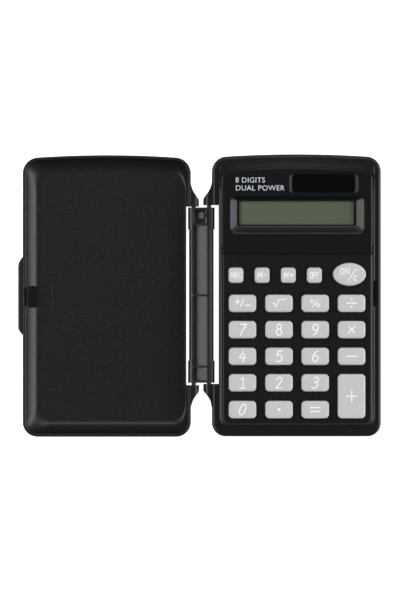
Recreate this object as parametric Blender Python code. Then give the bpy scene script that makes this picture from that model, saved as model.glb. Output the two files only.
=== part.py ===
"""Folding pocket calculator, lying open flat.

A book-style case: a tray cover on the left, a narrow hinge spine in the
middle and the calculator body on the right.  The spine turns on the body and
the cover turns on the spine, about two parallel Y axes, so the cover closes
over the keys.  +X runs from the cover to the body, +Y towards the display,
+Z up.  Units: dimensions are written in millimetres and scaled to metres.
"""
import bpy
import bmesh
import math

MM = 0.001

# ------------------------------------------------------------------ driving sizes
PIVOT_Z = 3.00           # height of both hinge axes
COVER_PIVOT_X = -2.35    # axis between cover and spine
BODY_PIVOT_X = 3.85      # axis between spine and body
EAR_R = 2.20             # rounded hinge ears of the cover
BODY_EAR_R = 2.35
PIN_R = 0.90             # trunnion pins moulded on the spine
PIN_HOLE_R = 0.97
PIN_END_Y = 40.3

BODY_X0, BODY_X1 = 5.0, 73.7
BODY_Y0, BODY_Y1 = -57.3, 57.4
BODY_R = 5.6
BODY_BOW = 1.3           # top edge bows outwards by this much
BODY_LEDGE_Z = 5.95
BODY_CUT_X = 7.80        # side of the spine cut-out
BODY_CUT_Y0, BODY_CUT_Y1 = -35.95, 36.75
WALL = 1.6

PLAT_X0, PLAT_X1 = 7.95, 71.20
PLAT_Y0, PLAT_Y1 = -53.5, 52.9
PLAT_R = 4.2
PLAT_BOW = 1.9          # its top edge follows the body's
PLAT_Z = 7.80
ROOF_Z = 6.30            # underside of the key plate

COVER_X0, COVER_X1 = -71.8, -3.5
COVER_Y0, COVER_Y1 = -57.4, 57.0
COVER_R = 6.0
COVER_BOW = 1.4
COVER_Z = 6.00
COVER_FLOOR = 1.30
COVER_CUT_X = -5.40
COVER_CUT_Y0, COVER_CUT_Y1 = -36.45, 36.15

SPINE_Y0, SPINE_Y1 = -35.45, 35.75
SPINE_STEP_Y0, SPINE_STEP_Y1 = -26.5, 26.9
SPINE_R_WIDE = 2.30
SPINE_R_SLIM = 1.90
CHANNEL_X0, CHANNEL_X1 = -2.65, 4.05
CHANNEL_FLOOR = 1.95
SPINE_TOP = 5.25

PANEL_X0, PANEL_X1 = 9.30, 69.85
PANEL_Y0, PANEL_Y1 = 16.9, 51.6
PANEL_R = 2.6
PANEL_BOW = 1.6
PANEL_TOP = 7.95
PANEL_SEAT = 6.90
PANEL_LOW = 5.90

LCD_TOP = (12.0, 67.2, 24.8, 40.4)
LCD_GLASS = (16.2, 62.6, 28.7, 38.3)
SOLAR_TOP = (36.1, 64.8, 41.2, 49.6)
SOLAR_GLASS = (37.5, 63.1, 41.8, 48.9)

REAR_Z0, REAR_Z1 = 0.10, 1.20
PCB_Z0, PCB_Z1 = 2.30, 3.30
DOME_Z0, DOME_Z1, DOME_TOP = 3.40, 4.00, 4.70
KEY_FLANGE_Z0, KEY_FLANGE_Z1 = 5.60, 6.20
KEY_TOP = 9.50
KEY_GAP = 0.25
KEY_FLANGE = 0.70

CELL_X, CELL_Y, CELL_R = 22.0, 45.6, 5.80
CELL_Z0, CELL_Z1 = 1.45, 4.50
DOOR_X0, DOOR_X1 = 14.5, 29.5
DOOR_Y0 = 38.2
DOOR_LAP = 0.9

KEY_COLS = (17.40, 32.20, 46.85, 61.55)          # column centres
KEY_ROWS = (-3.20, -13.85, -24.65, -35.35, -46.20)  # row centres
KEY_W, KEY_H, KEY_R = 11.1, 7.0, 1.65
TOP_COLS = (14.75, 25.35, 35.95, 46.50)
TOP_Y, TOP_W, TOP_H = 8.20, 6.0, 6.2
OVAL_X, OVAL_Y, OVAL_W, OVAL_H = 60.70, 8.55, 13.3, 9.2

SCREWS = ((10.3, -52.6), (68.6, -52.6), (10.3, 52.0), (68.6, 52.0))
BOSS_R = 1.9


# ------------------------------------------------------------------ helpers
def clear_scene():
    for ob in list(bpy.data.objects):
        bpy.data.objects.remove(ob, do_unlink=True)


def solid(name, verts, faces):
    me = bpy.data.meshes.new(name)
    me.from_pydata([(x * MM, y * MM, z * MM) for x, y, z in verts], [], faces)
    bm = bmesh.new()
    bm.from_mesh(me)
    bmesh.ops.recalc_face_normals(bm, faces=bm.faces)
    if bm.calc_volume(signed=True) < 0:
        bmesh.ops.reverse_faces(bm, faces=bm.faces)
    bm.to_mesh(me)
    bm.free()
    ob = bpy.data.objects.new(name, me)
    bpy.context.scene.collection.objects.link(ob)
    return ob


def loft(name, rings):
    """rings: list of (outline, z); every outline has the same point count."""
    n = len(rings[0][0])
    verts, faces = [], []
    for pts, z in rings:
        verts += [(x, y, z) for x, y in pts]
    for k in range(len(rings) - 1):
        for i in range(n):
            j = (i + 1) % n
            faces.append((k * n + i, k * n + j, (k + 1) * n + j, (k + 1) * n + i))
    faces.append(tuple(range(n - 1, -1, -1)))
    top = (len(rings) - 1) * n
    faces.append(tuple(range(top, top + n)))
    return solid(name, verts, faces)


def prism(name, pts, z0, z1):
    return loft(name, [(pts, z0), (pts, z1)])


def prism_y(name, xz, y0, y1):
    n = len(xz)
    verts = [(x, y0, z) for x, z in xz] + [(x, y1, z) for x, z in xz]
    faces = [(i, (i + 1) % n, n + (i + 1) % n, n + i) for i in range(n)]
    faces += [tuple(range(n - 1, -1, -1)), tuple(range(n, 2 * n))]
    return solid(name, verts, faces)


def box(name, x0, x1, y0, y1, z0, z1):
    return prism(name, [(x0, y0), (x1, y0), (x1, y1), (x0, y1)], z0, z1)


def circle(cx, cy, r, n=24, a0=0.0):
    return [(cx + r * math.cos(a0 + 2 * math.pi * i / n),
             cy + r * math.sin(a0 + 2 * math.pi * i / n)) for i in range(n)]


def ellipse(cx, cy, a, b, n=28):
    return [(cx + a * math.cos(2 * math.pi * i / n),
             cy + b * math.sin(2 * math.pi * i / n)) for i in range(n)]


def rrect(x0, x1, y0, y1, r, seg=4, top=0, bow=0.0):
    """Rounded rectangle, counter-clockwise; the top edge may bow outwards."""
    r = max(0.05, min(r, (x1 - x0) / 2 - 0.01, (y1 - y0) / 2 - 0.01))
    pts = []

    def corner(cx, cy, a):
        for k in range(seg + 1):
            t = a + math.pi / 2 * k / seg
            pts.append((cx + r * math.cos(t), cy + r * math.sin(t)))
    corner(x1 - r, y0 + r, -math.pi / 2)
    corner(x1 - r, y1 - r, 0.0)
    for k in range(1, top + 1):
        x = (x1 - r) + (x0 + r - (x1 - r)) * k / (top + 1)
        pts.append((x, y1))
    corner(x0 + r, y1 - r, math.pi / 2)
    corner(x0 + r, y0 + r, math.pi)
    if bow:
        xc, hw = (x0 + x1) / 2, (x1 - x0) / 2
        yc, hh = (y0 + y1) / 2, (y1 - y0) / 2
        out = []
        for x, y in pts:
            f = max(0.0, (y - yc) / hh)
            f = max(0.0, min(1.0, (f - 0.8) / 0.1))
            out.append((x, y - bow * f * ((x - xc) / hw) ** 2))
        pts = out
    return pts


def apply_bool(ob, others, op):
    for other in others:
        mod = ob.modifiers.new("b", 'BOOLEAN')
        mod.operation = op
        mod.solver = 'EXACT'
        mod.object = other
        dg = bpy.context.evaluated_depsgraph_get()
        dg.update()
        me = bpy.data.meshes.new_from_object(ob.evaluated_get(dg))
        ob.modifiers.remove(mod)
        old = ob.data
        ob.data = me
        bpy.data.meshes.remove(old)
        bpy.data.objects.remove(other, do_unlink=True)
    return ob


def cut(ob, *others):
    return apply_bool(ob, others, 'DIFFERENCE')


def fuse(ob, *others):
    return apply_bool(ob, others, 'UNION')


def meet(ob, *others):
    return apply_bool(ob, others, 'INTERSECT')


def tidy(ob, dist=0.0005):
    """Weld Boolean slivers away and keep the mesh closed."""
    bm = bmesh.new()
    bm.from_mesh(ob.data)
    bmesh.ops.remove_doubles(bm, verts=bm.verts, dist=dist * MM)
    bmesh.ops.dissolve_degenerate(bm, edges=bm.edges, dist=dist * MM)
    bmesh.ops.recalc_face_normals(bm, faces=bm.faces)
    bm.to_mesh(ob.data)
    bm.free()
    ob.data.name = ob.name
    return ob


# ------------------------------------------------------------------ outlines
def body_outline(inset, seg=5, top=7):
    return rrect(BODY_X0 + inset, BODY_X1 - inset, BODY_Y0 + inset, BODY_Y1 - inset,
                 BODY_R - inset, seg, top, BODY_BOW)


def cover_outline(inset, seg=5, top=7):
    return rrect(COVER_X0 + inset, COVER_X1 - inset, COVER_Y0 + inset, COVER_Y1 - inset,
                 max(COVER_R - inset, 1.6), seg, top, COVER_BOW)


def tray_outline(inset, seg=5, top=7):
    """Inside of the cover: its wall stands steeply along the hinge side and slopes on the other three."""
    hinge_side = inset if inset < 1.35 else 1.35 + (inset - 1.35) * 0.16
    return rrect(COVER_X0 + inset, COVER_X1 - hinge_side, COVER_Y0 + inset, COVER_Y1 - inset,
                 max(COVER_R - inset, 4.4 + 0.35 * inset if inset > 1.7 else COVER_R - inset), seg, top, COVER_BOW)


def plateau_outline(inset, seg=4, top=5):
    return rrect(PLAT_X0 + inset, PLAT_X1 - inset, PLAT_Y0 + inset, PLAT_Y1 - inset,
                 PLAT_R - inset, seg, top, PLAT_BOW)


def panel_outline(inset, seg=4, top=5):
    return rrect(PANEL_X0 + inset, PANEL_X1 - inset, PANEL_Y0 + inset, PANEL_Y1 - inset,
                 PANEL_R - inset, seg, top, PANEL_BOW)


def ear(name, pivot_x, r, shoulder, root_x, side):
    """Rounded hinge ear: a bar round the pivot, faired back to the case."""
    n = 9
    prof = []
    a0, a1 = (-math.pi / 2, math.pi / 2) if side > 0 else (math.pi / 2, 3 * math.pi / 2)
    for k in range(n + 1):
        t = a0 + (a1 - a0) * k / n
        prof.append((pivot_x + r * math.cos(t), PIVOT_Z + r * math.sin(t)))
    if side > 0:
        prof += [(root_x, PIVOT_Z + r), (root_x, PIVOT_Z - r)]
    else:
        prof += [(root_x, PIVOT_Z - r), (root_x, PIVOT_Z + r)]
    ys = [p[1] for p in shoulder]
    bar = prism_y(name, prof, min(ys) - 0.001, max(ys) + 0.001)
    plan = list(shoulder) + [(root_x - side * 0.02, shoulder[-1][1]), (root_x - side * 0.02, shoulder[0][1])]
    return meet(bar, prism(name + "_plan", plan, -1, 9))


def pin_hole(x, y0, y1):
    prof = [(x + PIN_HOLE_R / math.cos(math.pi / 20) * math.cos(2 * math.pi * i / 20),
             PIVOT_Z + PIN_HOLE_R / math.cos(math.pi / 20) * math.sin(2 * math.pi * i / 20))
            for i in range(20)]
    return prism_y("hole", prof, y0, y1)


# ------------------------------------------------------------------ cover
def make_cover():
    prof = [(1.5, 0.0), (0.75, 0.25), (0.25, 0.8), (0.0, 1.6), (0.0, 5.4), (0.3, COVER_Z)]
    ob = loft("cover", [(cover_outline(i), z) for i, z in prof])
    inner = [(6.7, COVER_FLOOR), (5.6, 1.52), (4.6, 2.02), (3.6, 2.80), (2.6, 3.78), (1.85, 4.72), (1.35, 5.68), (1.0, COVER_Z), (1.0, 8.0)]
    cav = loft("cavity", [(tray_outline(i), z) for i, z in inner])
    cut(cav, box("keep", COVER_CUT_X - 1.0, 2.0, COVER_CUT_Y0 - 1.0, COVER_CUT_Y1 + 1.0, -1, 9))
    cut(ob, cav)
    cut(ob, box("cutout", COVER_CUT_X, 2.0, COVER_CUT_Y0, COVER_CUT_Y1, -1, 9))
    top = [(-0.24, 36.15), (-0.24, 38.2), (-0.45, 39.2), (-1.58, 40.9), (-2.70, 42.8), (-3.45, 45.2)]
    low = [(-0.16, -36.45), (-0.16, -38.3), (-0.50, -39.4), (-1.60, -40.9), (-2.60, -42.6), (-3.45, -45.2)]
    fuse(ob, ear("ear_a", COVER_PIVOT_X, EAR_R, top, -4.3, 1))
    fuse(ob, ear("ear_b", COVER_PIVOT_X, EAR_R, low, -4.3, 1))
    cut(ob, pin_hole(COVER_PIVOT_X, 30.0, PIN_END_Y + 0.4), pin_hole(COVER_PIVOT_X, -PIN_END_Y - 0.4, -30.0))
    tab = [(-70.9, -16.0), (-70.9, 15.6), (-71.9, 15.6), (-73.0, 13.9), (-73.55, 12.9), (-73.7, 11.9),
           (-73.7, -12.7), (-73.55, -13.6), (-73.0, -14.5), (-71.9, -16.0)]
    inset = [(x + (0.35 if x < -72.5 else 0.0), y) for x, y in tab]
    fuse(ob, loft("tab", [(inset, 3.6), (tab, 3.95), (tab, 5.55), (inset, 5.9)]))
    fuse(ob, box("hook_base", -71.2, -68.3, -4.3, 3.5, 0.9, 4.2))
    fuse(ob, box("hook_lip", -70.3, -69.6, -4.1, 3.3, 4.0, 6.60))
    return tidy(ob)


# ------------------------------------------------------------------ hinge spine
def spine_section(r):
    cx, bx = COVER_PIVOT_X, BODY_PIVOT_X
    pts = []
    for k in range(6):
        t = math.pi + (math.pi / 2) * k / 5
        pts.append((cx + r * math.cos(t), PIVOT_Z + 2.30 * math.sin(t)))
    for k in range(6):
        t = 1.5 * math.pi + (math.pi / 2) * k / 5
        pts.append((bx + r * math.cos(t), PIVOT_Z + 2.30 * math.sin(t)))
    pts += [(bx + r, PIVOT_Z + 1.1), (bx + r - 0.35, PIVOT_Z + 1.8), (bx + r - 0.85, SPINE_TOP)]
    pts += [(cx - r + 0.85, SPINE_TOP), (cx - r + 0.35, PIVOT_Z + 1.8), (cx - r, PIVOT_Z + 1.1)]
    return pts


def make_spine():
    ob = prism_y("hinge_spine", spine_section(SPINE_R_SLIM), SPINE_STEP_Y0 - 0.5, SPINE_STEP_Y1 + 0.5)
    fuse(ob, prism_y("wide_a", spine_section(SPINE_R_WIDE), SPINE_STEP_Y1, SPINE_Y1))
    fuse(ob, prism_y("wide_b", spine_section(SPINE_R_WIDE), SPINE_Y0, SPINE_STEP_Y0))
    ch = [(CHANNEL_X0, 7.0), (CHANNEL_X0, 3.0), (CHANNEL_X0 + 0.35, 2.3), (CHANNEL_X0 + 1.1, CHANNEL_FLOOR),
          (CHANNEL_X1 - 2.4, CHANNEL_FLOOR), (CHANNEL_X1 - 1.0, 2.3), (CHANNEL_X1 - 0.25, 3.0), (CHANNEL_X1, 7.0)]
    for y0, y1 in ((SPINE_Y0 + 0.9, -29.3), (-28.5, -0.3), (0.5, 28.4), (29.2, SPINE_Y1 - 0.9)):
        cut(ob, prism_y("channel", ch, y0, y1))
    cut(ob, box("rib_drop", CHANNEL_X0 + 0.02, CHANNEL_X1 - 0.02, SPINE_Y0 + 0.9, SPINE_Y1 - 0.9, 3.6, 7.0))
    for x in (COVER_PIVOT_X, BODY_PIVOT_X):
        for y0, y1 in ((SPINE_Y1 - 0.4, PIN_END_Y), (-PIN_END_Y, SPINE_Y0 + 0.4)):
            prof = [(x + PIN_R * math.cos(2 * math.pi * i / 20), PIVOT_Z + PIN_R * math.sin(2 * math.pi * i / 20))
                    for i in range(20)]
            fuse(ob, prism_y("pin", prof, y0, y1))
    return tidy(ob)


# ------------------------------------------------------------------ body shell
def key_list():
    keys = []
    names = (("key_sign", "key_sqrt", "key_percent", "key_divide"),
             ("key_7", "key_8", "key_9", "key_multiply"),
             ("key_4", "key_5", "key_6", "key_minus"),
             ("key_1", "key_2", "key_3", None),
             ("key_0", "key_dot", "key_equals", None))
    for r, row in enumerate(names):
        for c, name in enumerate(row):
            if name:
                keys.append((name, KEY_COLS[c], KEY_ROWS[r], KEY_W, KEY_H, KEY_R))
    y_top, y_low = KEY_ROWS[3] + KEY_H / 2, KEY_ROWS[4] - KEY_H / 2
    keys.append(("key_plus", KEY_COLS[3], (y_top + y_low) / 2, KEY_W, y_top - y_low, KEY_R))
    for name, x in zip(("key_mrc", "key_m_minus", "key_m_plus", "key_off"), TOP_COLS):
        keys.append((name, x, TOP_Y, TOP_W, TOP_H, 1.35))
    return keys


def key_outline(k, grow, seg=3):
    name, x, y, w, h, r = k
    return rrect(x - w / 2 - grow, x + w / 2 + grow, y - h / 2 - grow, y + h / 2 + grow, r + grow * 0.8, seg)


def make_front_case():
    prof = [(1.0, 0.0), (0.35, 0.3), (0.0, 1.0), (0.0, 4.9), (0.25, 5.55), (0.8, 5.93), (1.4, BODY_LEDGE_Z)]
    ob = loft("front_case", [(body_outline(i), z) for i, z in prof])
    cut(ob, box("cutout", 0.0, BODY_CUT_X, BODY_CUT_Y0, BODY_CUT_Y1, -1, 9))
    fuse(ob, loft("plateau", [(plateau_outline(i), z) for i, z in
                              ((0.0, 4.0), (0.0, 6.35), (0.14, 6.62), (1.08, 6.91), (1.25, 7.04), (1.47, 7.50), (1.65, 7.70), (2.05, PLAT_Z))]))
    # a brow slopes from the ledge up to the raised face along the curved end
    fuse(ob, loft("brow", [(rrect(PLAT_X0 + 0.03, PLAT_X1 - 0.03, 40.0, 56.2, 4.6, 4, 5, 1.5), 5.85),
                           (rrect(PLAT_X0 + 0.25, PLAT_X1 - 0.25, 40.0, 52.6, 4.1, 4, 5, 1.9), 6.86)]))
    low = prism("cav_low", body_outline(WALL), -1.0, 4.6)
    cut(low, box("keep", 0.0, BODY_CUT_X + 1.4, BODY_CUT_Y0 - 1.4, BODY_CUT_Y1 + 1.4, -2, 9))
    high = prism("cav_high", plateau_outline(1.3), 3.0, ROOF_Z)
    fuse(low, high)
    cut(low, box("keep2", 0.0, BODY_CUT_X + 1.4, BODY_CUT_Y0 - 1.4, BODY_CUT_Y1 + 1.4, -2, 9))
    for x, y in SCREWS:
        cut(low, prism("boss", circle(x, y, BOSS_R, 16), 1.3, 9))
    cut(ob, low)
    # display opening, seat and the latch slot
    cut(ob, prism("seat", panel_outline(-0.15), PANEL_SEAT - 0.05, 9))
    cut(ob, box("window", 11.9, 66.3, 18.4, 49.8, 4.5, 8))
    cut(ob, box("latch_slot", 70.45, 72.1, -4.4, 5.9, 5.1, 9))
    for x, y in SCREWS:
        cut(ob, prism("pilot", circle(x, y, 0.86, 12), 0.0, 4.3))
    for k in key_list():
        cut(ob, prism("kh", key_outline(k, KEY_GAP), 5, 9))
    cut(ob, prism("kh", ellipse(OVAL_X, OVAL_Y, OVAL_W / 2 + KEY_GAP, OVAL_H / 2 + KEY_GAP), 5, 9))
    # hinge ears
    top = [(1.48, 36.75), (1.48, 38.6), (1.75, 39.6), (2.56, 40.8), (3.70, 42.4), (4.60, 44.4), (4.95, 46.0)]
    lowp = [(1.34, -35.95), (1.40, -38.3), (1.90, -39.2), (3.00, -40.5), (4.20, -42.4), (4.70, -44.2), (4.95, -45.6)]
    fuse(ob, ear("ear_c", BODY_PIVOT_X, BODY_EAR_R, top, 5.9, -1))
    fuse(ob, ear("ear_d", BODY_PIVOT_X, BODY_EAR_R, lowp, 5.9, -1))
    cut(ob, pin_hole(BODY_PIVOT_X, 30.0, PIN_END_Y + 0.4), pin_hole(BODY_PIVOT_X, -PIN_END_Y - 0.4, -30.0))
    # way out for the battery door through the top wall
    cut(ob, box("door_way", DOOR_X0 - 0.3, DOOR_X1 + 0.3, 50.0, 62.0, -1.0, REAR_Z1 + 0.3))
    return tidy(ob)


def make_rear_case():
    ob = prism("rear_case", body_outline(WALL + 0.3), REAR_Z0, REAR_Z1)
    cut(ob, box("keep", 0.0, BODY_CUT_X + 1.7, BODY_CUT_Y0 - 1.7, BODY_CUT_Y1 + 1.7, -2, 9))
    # door slot: narrow outside, wide inside, so the door is held while it slides
    cut(ob, box("slot_low", DOOR_X0 + DOOR_LAP - 0.3, DOOR_X1 - DOOR_LAP + 0.3, DOOR_Y0 - 0.3, 62, -1, 2))
    cut(ob, box("slot_up", DOOR_X0 - 0.3, DOOR_X1 + 0.3, DOOR_Y0 - 0.3, 62, 0.55, 2))
    for x, y in SCREWS:
        cut(ob, prism("sink", circle(x, y, 1.75, 16), -1, 0.75))
        cut(ob, prism("thru", circle(x, y, 1.0, 12), -1, 2))
    for x, y in ((13.5, -47.6), (65.8, -47.6), (13.5, 22.0), (65.8, 47.4), (34.0, 47.4)):
        fuse(ob, prism("post", circle(x, y, 1.2, 12), REAR_Z1 - 0.2, PCB_Z0 - 0.05))
    return tidy(ob)


def make_battery_door():
    top_y = BODY_Y1 - BODY_BOW * ((CELL_X - (BODY_X0 + BODY_X1) / 2) / ((BODY_X1 - BODY_X0) / 2)) ** 2 - 0.55
    ob = box("battery_door", DOOR_X0 + DOOR_LAP, DOOR_X1 - DOOR_LAP, DOOR_Y0, top_y, REAR_Z0, 0.9)
    fuse(ob, box("upper", DOOR_X0, DOOR_X1, DOOR_Y0, top_y - 0.3, 0.70, REAR_Z1))
    for k in range(4):
        y = 50.0 + 1.1 * k
        cut(ob, box("grip", CELL_X - 3.2, CELL_X + 3.2, y, y + 0.5, -1, REAR_Z0 + 0.25))
    return tidy(ob)


def make_screws():
    for k, (x, y) in enumerate(SCREWS):
        ob = prism("case_screw_%d" % (k + 1), circle(x, y, 1.45, 16), 0.12, 0.70)
        fuse(ob, prism("shank", circle(x, y, 0.78, 12), 0.5, 4.1))
        cut(ob, box("slot_a", x - 0.85, x + 0.85, y - 0.16, y + 0.16, -1, 0.42))
        cut(ob, box("slot_b", x - 0.16, x + 0.16, y - 0.85, y + 0.85, -1, 0.42))
        tidy(ob)


# ------------------------------------------------------------------ display group
def frustum(name, low, z0, high, z1, r0=0.8, r1=1.6):
    return loft(name, [(rrect(*low, r0, 3), z0), (rrect(*high, r1, 3), z1)])


def make_display():
    ob = loft("display_panel", [(panel_outline(i), z) for i, z in ((0.0, PANEL_SEAT), (0.0, 7.75), (0.2, PANEL_TOP))])
    fuse(ob, box("under", 12.2, 66.0, 18.7, 49.5, PANEL_LOW, PANEL_SEAT + 0.2))
    cut(ob, frustum("lcd_a", LCD_GLASS, PANEL_LOW, LCD_TOP, PANEL_TOP))
    cut(ob, prism("lcd_b", rrect(*LCD_GLASS, 0.8, 3), 5.0, PANEL_LOW + 0.05))
    cut(ob, prism("lcd_c", rrect(*LCD_TOP, 1.6, 3), PANEL_TOP - 0.02, 9))
    cut(ob, frustum("sol_a", SOLAR_GLASS, 7.1, SOLAR_TOP, PANEL_TOP, 0.6, 1.2))
    cut(ob, prism("sol_b", rrect(*SOLAR_GLASS, 0.6, 3), 5.0, 7.12))
    cut(ob, prism("sol_c", rrect(*SOLAR_TOP, 1.2, 3), PANEL_TOP - 0.02, 9))
    tidy(ob)
    box("lcd_window", 14.6, 64.2, 27.3, 39.2, 5.35, 5.80)
    box("lcd_module", 14.6, 64.2, 27.0, 39.4, 4.25, 5.25)
    box("lcd_connector", 18.0, 61.0, 27.6, 29.2, 3.40, 4.15)
    x0, x1, y0, y1 = SOLAR_GLASS
    prism("solar_window", rrect(x0 + 0.1, x1 - 0.1, y0 + 0.1, y1 - 0.1, 0.5, 3), 5.90, 7.00)
    box("solar_cell", 36.6, 64.0, 41.0, 49.4, 5.20, 5.80)


# ------------------------------------------------------------------ electronics
def make_inside():
    ob = box("pcb", 10.2, 68.6, -49.9, 49.6, PCB_Z0, PCB_Z1)
    cut(ob, box("bay", CELL_X - 6.6, CELL_X + 6.6, CELL_Y - 6.6, 55, 0, 5))
    tidy(ob)
    keys = key_list()
    sheet = box("dome_sheet", 10.6, 68.2, -50.3, 14.2, DOME_Z0, DOME_Z1)
    for k in keys:
        fuse(sheet, loft("dome", [(circle(k[1], k[2], 2.3, 10), DOME_Z1 - 0.2), (circle(k[1], k[2], 2.1, 10), DOME_Z1 + 0.3),
                                  (circle(k[1], k[2], 1.5, 10), DOME_TOP)]))
    fuse(sheet, loft("dome", [(circle(OVAL_X, OVAL_Y, 2.3, 10), DOME_Z1 - 0.2), (circle(OVAL_X, OVAL_Y, 2.1, 10), DOME_Z1 + 0.3),
                              (circle(OVAL_X, OVAL_Y, 1.5, 10), DOME_TOP)]))
    tidy(sheet)
    loft("chip_blob", [(circle(40, 20, 2.2, 16), 1.45), (circle(40, 20, 3.8, 16), 1.75), (circle(40, 20, 4.2, 16), 2.25)])
    loft("button_cell", [(circle(CELL_X, CELL_Y, CELL_R - 0.9, 32), CELL_Z0), (circle(CELL_X, CELL_Y, CELL_R - 0.25, 32), CELL_Z0 + 0.15),
                         (circle(CELL_X, CELL_Y, CELL_R, 32), CELL_Z0 + 0.5), (circle(CELL_X, CELL_Y, CELL_R, 32), CELL_Z1 - 0.15),
                         (circle(CELL_X, CELL_Y, CELL_R - 0.15, 32), CELL_Z1)])
    # spring strip over the cell, bent down to the board
    x = CELL_X - 6.6
    prof = [(x - 3.2, 3.35), (x - 1.2, 3.35), (x + 0.4, 4.60), (CELL_X + 1.0, 4.55), (CELL_X + 1.0, 4.75),
            (x + 0.2, 4.80), (x - 1.35, 3.55), (x - 3.2, 3.55)]
    prism_y("battery_contact_top", prof, CELL_Y - 1.6, CELL_Y + 1.6)
    # side strip standing beside the cell, footed on the board
    x = CELL_X + CELL_R + 0.12
    prof = [(x, 2.0), (x + 0.2, 2.0), (x + 0.2, 3.35), (x + 2.4, 3.35), (x + 2.4, 3.55), (x, 3.55)]
    prism_y("battery_contact_side", prof, CELL_Y - 2.0, CELL_Y + 2.0)


# ------------------------------------------------------------------ keys
def make_keys():
    for k in key_list():
        levels = ((KEY_FLANGE, KEY_FLANGE_Z0), (KEY_FLANGE, KEY_FLANGE_Z1), (0.0, KEY_FLANGE_Z1),
                  (0.0, 8.95), (-0.15, 9.28), (-0.55, KEY_TOP))
        loft(k[0], [(key_outline(k, g), z) for g, z in levels])
    loft("key_on_c", [(ellipse(OVAL_X, OVAL_Y, OVAL_W / 2 + g, OVAL_H / 2 + g), z) for g, z in
                      ((KEY_FLANGE, KEY_FLANGE_Z0), (KEY_FLANGE, KEY_FLANGE_Z1), (0.0, KEY_FLANGE_Z1),
                       (0.0, 8.95), (-0.15, 9.28), (-0.55, KEY_TOP))])


# ------------------------------------------------------------------ finish and placing
# finish name: colour (linear), roughness, metallic
FINISH = {
    "case_black": ((0.030, 0.030, 0.032), 0.55, 0.0),
    "panel_black": ((0.022, 0.022, 0.024), 0.40, 0.0),
    "clear_window": ((0.92, 0.94, 0.92), 0.05, 0.0),
    "dark_window": ((0.012, 0.012, 0.014), 0.12, 0.0),
    "lcd_glass": ((0.090, 0.120, 0.075), 0.30, 0.0),
    "solar_dark": ((0.020, 0.015, 0.030), 0.25, 0.0),
    "rubber_dark": ((0.05, 0.05, 0.05), 0.80, 0.0),
    "rubber_grey": ((0.45, 0.46, 0.46), 0.75, 0.0),
    "board_green": ((0.04, 0.16, 0.08), 0.40, 0.0),
    "epoxy_black": ((0.02, 0.02, 0.02), 0.20, 0.0),
    "cell_steel": ((0.62, 0.62, 0.60), 0.30, 1.0),
    "contact_steel": ((0.66, 0.66, 0.64), 0.25, 1.0),
    "screw_steel": ((0.35, 0.35, 0.36), 0.35, 1.0),
    "key_grey": ((0.56, 0.56, 0.57), 0.45, 0.0),
}
FINISH_OF = {
    "display_panel": "panel_black", "lcd_window": "clear_window", "lcd_module": "lcd_glass",
    "lcd_connector": "rubber_dark", "solar_window": "dark_window", "solar_cell": "solar_dark",
    "pcb": "board_green", "chip_blob": "epoxy_black", "dome_sheet": "rubber_grey",
    "button_cell": "cell_steel", "battery_contact_top": "contact_steel", "battery_contact_side": "contact_steel",
}


def finish_for(name):
    if name in FINISH_OF:
        return FINISH_OF[name]
    if name.startswith("case_screw"):
        return "screw_steel"
    if name.startswith("key_"):
        return "key_grey"
    return "case_black"


def paint_all():
    made = {}
    for key, (rgb, rough, metal) in FINISH.items():
        mat = bpy.data.materials.new(key)
        mat.use_nodes = True
        bsdf = mat.node_tree.nodes["Principled BSDF"]
        bsdf.inputs["Base Color"].default_value = rgb + (1.0,)
        bsdf.inputs["Roughness"].default_value = rough
        bsdf.inputs["Metallic"].default_value = metal
        made[key] = mat
    for ob in bpy.data.objects:
        if ob.type == 'MESH':
            ob.data.materials.clear()
            ob.data.materials.append(made[finish_for(ob.name)])


def set_origin(ob, x, y, z):
    """Move the origin to a point in the world and leave the shape where it is."""
    for v in ob.data.vertices:
        v.co.x -= x * MM
        v.co.y -= y * MM
        v.co.z -= z * MM
    ob.location = (x * MM, y * MM, z * MM)


def place_all():
    """Every moving piece turns or slides about its own origin."""
    for ob in [o for o in bpy.data.objects if o.type == 'MESH']:
        if ob.name == "cover":
            set_origin(ob, COVER_PIVOT_X, 0.0, PIVOT_Z)
        elif ob.name == "hinge_spine":
            set_origin(ob, BODY_PIVOT_X, 0.0, PIVOT_Z)
        elif ob.name == "battery_door":
            set_origin(ob, CELL_X, DOOR_Y0, REAR_Z0)
        elif ob.name == "key_on_c":
            set_origin(ob, OVAL_X, OVAL_Y, KEY_FLANGE_Z0)
    for k in key_list():
        set_origin(bpy.data.objects[k[0]], k[1], k[2], KEY_FLANGE_Z0)
    # the cover hangs on the spine, everything else on the front case
    bpy.context.view_layer.update()
    case = bpy.data.objects["front_case"]
    for ob in [o for o in bpy.data.objects if o.type == 'MESH']:
        if ob.name == "front_case":
            continue
        ob.parent = bpy.data.objects["hinge_spine"] if ob.name == "cover" else case
        ob.matrix_parent_inverse = ob.parent.matrix_world.inverted()


clear_scene()
make_cover()
make_spine()
make_front_case()
make_rear_case()
make_battery_door()
make_screws()
make_display()
make_inside()
make_keys()
paint_all()
place_all()
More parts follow.
